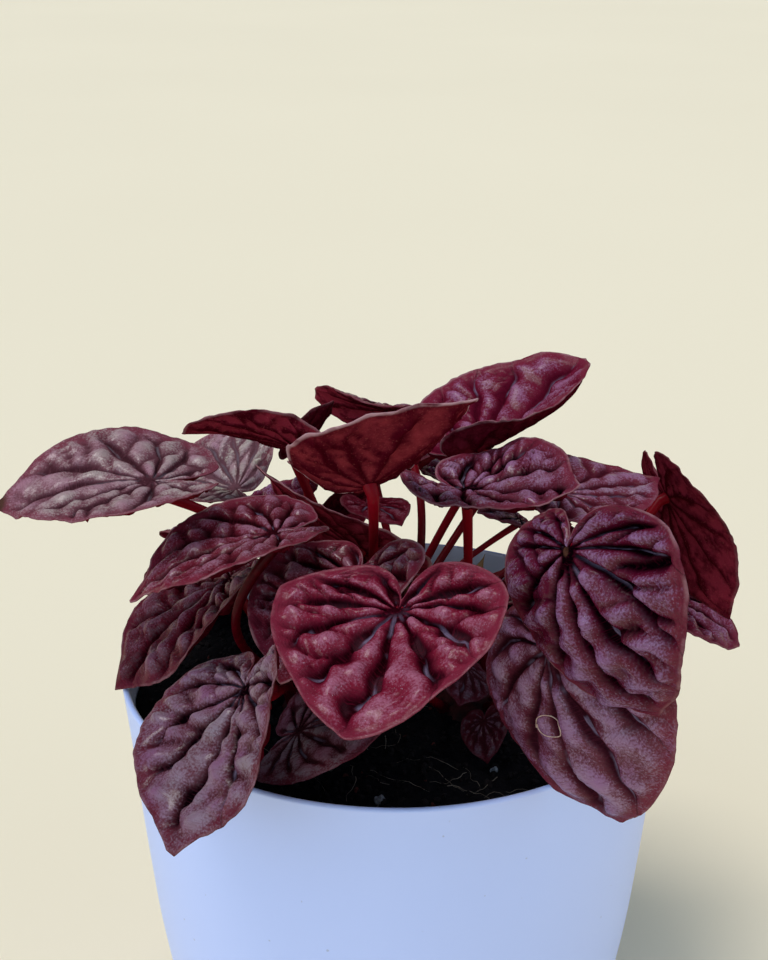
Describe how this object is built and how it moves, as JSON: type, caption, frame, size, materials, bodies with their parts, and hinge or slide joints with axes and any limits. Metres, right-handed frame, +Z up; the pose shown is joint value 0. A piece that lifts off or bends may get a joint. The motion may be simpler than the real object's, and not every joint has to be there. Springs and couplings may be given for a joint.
{
  "type": "potted ripple peperomia",
  "caption": "Bushy foliage plant with dark red, heart-shaped, deeply rippled leaves on red stalks, growing in a plain white tapered plastic pot.",
  "frame": {"origin": "centre of the pot's flat base", "axes": "+Z up, -Y towards the front of the plant, +X to its right"},
  "size_m": [0.1593, 0.1681, 0.1829],
  "materials": {
    "pot_plastic": "satin moulded white plastic",
    "potting_soil": "matt dark peat mix with fine roots",
    "leaf_stalk": "smooth juicy red stalk",
    "leaf_burgundy": "rippled satin leaf, purple burgundy",
    "leaf_wine": "rippled glossy leaf, dark wine red",
    "leaf_silver": "rippled leaf with a silvery bloom"
  },
  "bodies": {
    "root": {"pot": "pot_plastic", "soil": "potting_soil", "crown_left": "leaf_stalk", "crown_right": "leaf_stalk", "crown_back": "leaf_stalk", "leaf_left_silver": "leaf_silver", "leaf_left_middle": "leaf_wine", "leaf_left_low": "leaf_wine", "leaf_front_left_hanging": "leaf_burgundy", "leaf_low_brown": "leaf_wine", "leaf_left_cupped": "leaf_silver", "leaf_left_upturned": "leaf_wine", "leaf_centre_leaning": "leaf_wine", "leaf_top_folded": "leaf_wine", "leaf_centre_boat": "leaf_wine", "leaf_front_inner": "leaf_wine", "leaf_front_centre": "leaf_burgundy", "leaf_top_right": "leaf_burgundy", "leaf_centre_right": "leaf_burgundy", "leaf_right": "leaf_burgundy", "leaf_far_right_turned": "leaf_wine", "leaf_far_right_low": "leaf_burgundy", "leaf_front_right": "leaf_burgundy", "leaf_front_right_hanging": "leaf_burgundy", "leaf_back_left": "leaf_burgundy", "leaf_back_left_low": "leaf_wine", "leaf_back_centre": "leaf_silver", "leaf_back_centre_right": "leaf_burgundy", "leaf_back_right": "leaf_burgundy", "leaf_back_right_low": "leaf_wine", "leaf_back_hanging": "leaf_burgundy", "leaf_back_small_left": "leaf_wine", "leaf_back_small_right": "leaf_wine", "leaf_young_soil_front": "leaf_wine", "leaf_young_soil_right": "leaf_wine", "leaf_young_right": "leaf_wine", "leaf_young_red": "leaf_wine", "leaf_young_upright": "leaf_wine"}
  },
  "joints": []
}
